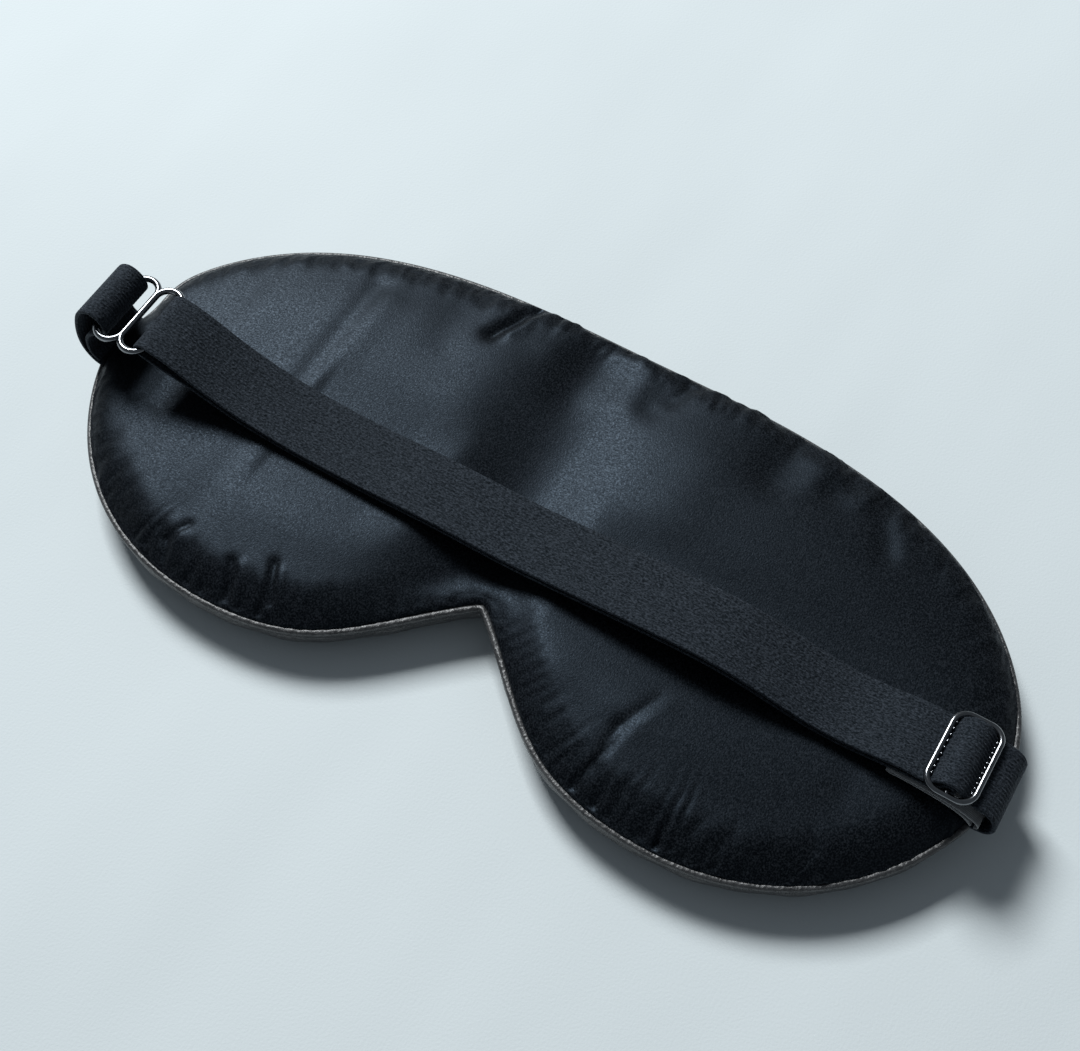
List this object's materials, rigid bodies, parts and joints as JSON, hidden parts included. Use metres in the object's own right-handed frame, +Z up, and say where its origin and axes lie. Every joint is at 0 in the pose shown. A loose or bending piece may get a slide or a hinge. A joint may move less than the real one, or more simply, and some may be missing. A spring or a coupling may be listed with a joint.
{
  "type": "sleep eye mask",
  "caption": "Padded sleep eye mask with a nose notch, satin back and leather-look front, and an elastic head strap with a slider and a two-window metal ring.",
  "frame": {"origin": "on the table, the flat face that the mask rests on, midway between its two ends and midway between the forehead edge and the lowest point of the lobes", "axes": "+X along the mask's length, to the end with the slider; +Y towards the forehead edge, away from the nose notch; +Z up, out of the satin side that faces the wearer"},
  "size_m": [0.2154, 0.0986, 0.0286],
  "materials": {
    "leather": "fine-grained black synthetic leather, low sheen",
    "satin": "black satin with a soft blue-grey sheen",
    "wadding": "white polyester wadding",
    "liner": "black woven blackout cloth",
    "thread": "black polyester sewing thread",
    "elastic": "matte black ribbed elastic",
    "ribbon": "smooth dark satin ribbon, blank",
    "black_metal": "glossy black plated wire"
  },
  "bodies": {
    "mask": {"front_panel": "leather", "front_wadding": "wadding", "blackout_liner": "liner", "back_wadding": "wadding", "back_panel": "satin", "edge_stitches": "thread", "strap_anchor": "elastic", "tab_anchor": "elastic", "strap_tack": "thread", "tab_tack": "thread", "care_label": "ribbon"},
    "tab": {"strap_tab": "elastic"},
    "strap_slider_half": {"strap_feed": "elastic", "strap_return": "elastic"},
    "strap_ring_half": {"strap_left": "elastic"},
    "ring": {"strap_ring": "black_metal"},
    "slider": {"slider": "black_metal", "strap_hump": "elastic", "strap_end_loop": "elastic"}
  },
  "joints": [
    {"name": "strap_lift", "type": "hinge", "parent": "mask", "child": "strap_slider_half", "pos_m": [0.106, -0.0062, 0.01], "axis": [0, 1, 0], "range_deg": [0, 8]},
    {"name": "strap_arch", "type": "hinge", "parent": "strap_slider_half", "child": "strap_ring_half", "pos_m": [0.002, -0.0062, 0.0143], "axis": [0, 1, 0], "range_deg": [-17, 0]},
    {"name": "ring_tilt", "type": "hinge", "parent": "strap_ring_half", "child": "ring", "pos_m": [-0.0872, -0.0062, 0.0245], "axis": [0, 1, 0], "range_deg": [-5, 5]},
    {"name": "tab_flex", "type": "hinge", "parent": "mask", "child": "tab", "pos_m": [-0.1059, -0.0062, 0.0095], "axis": [0, 1, 0], "range_deg": [0, 4.5]},
    {"name": "slider_slide", "type": "slide", "parent": "strap_slider_half", "child": "slider", "axis": [-1, 0, 0], "range_m": [0, 0.045]}
  ],
  "couplings": [
    {"joint": "strap_arch", "follows": "strap_lift", "ratio": -2},
    {"joint": "tab_flex", "follows": "strap_lift", "ratio": 0.5}
  ]
}
